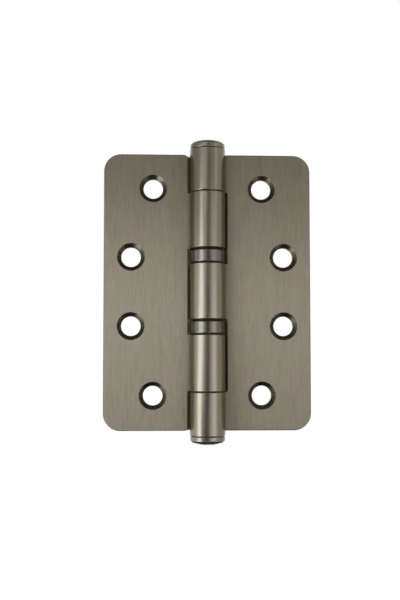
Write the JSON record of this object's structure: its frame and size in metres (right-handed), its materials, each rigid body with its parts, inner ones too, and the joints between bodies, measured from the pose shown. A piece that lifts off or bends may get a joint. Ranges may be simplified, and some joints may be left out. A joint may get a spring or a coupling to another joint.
{
  "type": "loose pin butt hinge",
  "caption": "Butt hinge with radius corners, rolled knuckles, shrouded thrust bearings and a loose button-headed pin.",
  "frame": {"origin": "on the pin's axis, half way up the hinge, which is the centre of its box when it lies open flat", "axes": "+Z along the pin towards its head, +X towards the three-knuckle leaf, +Y out of the back of the leaves; the countersunk faces look along -Y"},
  "size_m": [0.0762, 0.013, 0.1112],
  "materials": {
    "leaf_plate": "brushed dark nickel plate",
    "pin_and_tip": "satin dark nickel plate",
    "bearing_shroud": "satin dark nickel plate",
    "bearing_race": "oiled black bearing steel",
    "bearing_cage": "pressed brass",
    "bearing_ball": "polished steel"
  },
  "bodies": {
    "frame_side": {"frame_leaf": "leaf_plate", "bottom_tip": "pin_and_tip", "upper_bearing_bottom_race": "bearing_race", "upper_bearing_shroud": "bearing_shroud", "lower_bearing_top_race": "bearing_race"},
    "door_side": {"door_leaf": "leaf_plate", "upper_bearing_top_race": "bearing_race", "lower_bearing_bottom_race": "bearing_race", "lower_bearing_shroud": "bearing_shroud"},
    "loose_pin": {"hinge_pin": "pin_and_tip"},
    "upper_ball_ring": {"upper_bearing_cage": "bearing_cage", "upper_bearing_ball_1": "bearing_ball", "upper_bearing_ball_2": "bearing_ball", "upper_bearing_ball_3": "bearing_ball", "upper_bearing_ball_4": "bearing_ball", "upper_bearing_ball_5": "bearing_ball", "upper_bearing_ball_6": "bearing_ball", "upper_bearing_ball_7": "bearing_ball", "upper_bearing_ball_8": "bearing_ball"},
    "lower_ball_ring": {"lower_bearing_cage": "bearing_cage", "lower_bearing_ball_1": "bearing_ball", "lower_bearing_ball_2": "bearing_ball", "lower_bearing_ball_3": "bearing_ball", "lower_bearing_ball_4": "bearing_ball", "lower_bearing_ball_5": "bearing_ball", "lower_bearing_ball_6": "bearing_ball", "lower_bearing_ball_7": "bearing_ball", "lower_bearing_ball_8": "bearing_ball"}
  },
  "joints": [
    {"name": "leaf_swing", "type": "hinge", "parent": "frame_side", "child": "door_side", "pos_m": [0, 0, 0], "axis": [0, 0, 1], "range_deg": [-90, 180]},
    {"name": "pin_lift", "type": "slide", "parent": "frame_side", "child": "loose_pin", "axis": [0, 0, 1], "range_m": [0, 0.1]},
    {"name": "upper_ball_ring_turn", "type": "hinge", "parent": "frame_side", "child": "upper_ball_ring", "pos_m": [0, 0, 0], "axis": [0, 0, 1], "range_deg": [-45, 90]},
    {"name": "lower_ball_ring_turn", "type": "hinge", "parent": "frame_side", "child": "lower_ball_ring", "pos_m": [0, 0, 0], "axis": [0, 0, 1], "range_deg": [-45, 90]}
  ],
  "couplings": [
    {"joint": "upper_ball_ring_turn", "follows": "leaf_swing", "ratio": 0.5},
    {"joint": "lower_ball_ring_turn", "follows": "leaf_swing", "ratio": 0.5}
  ]
}
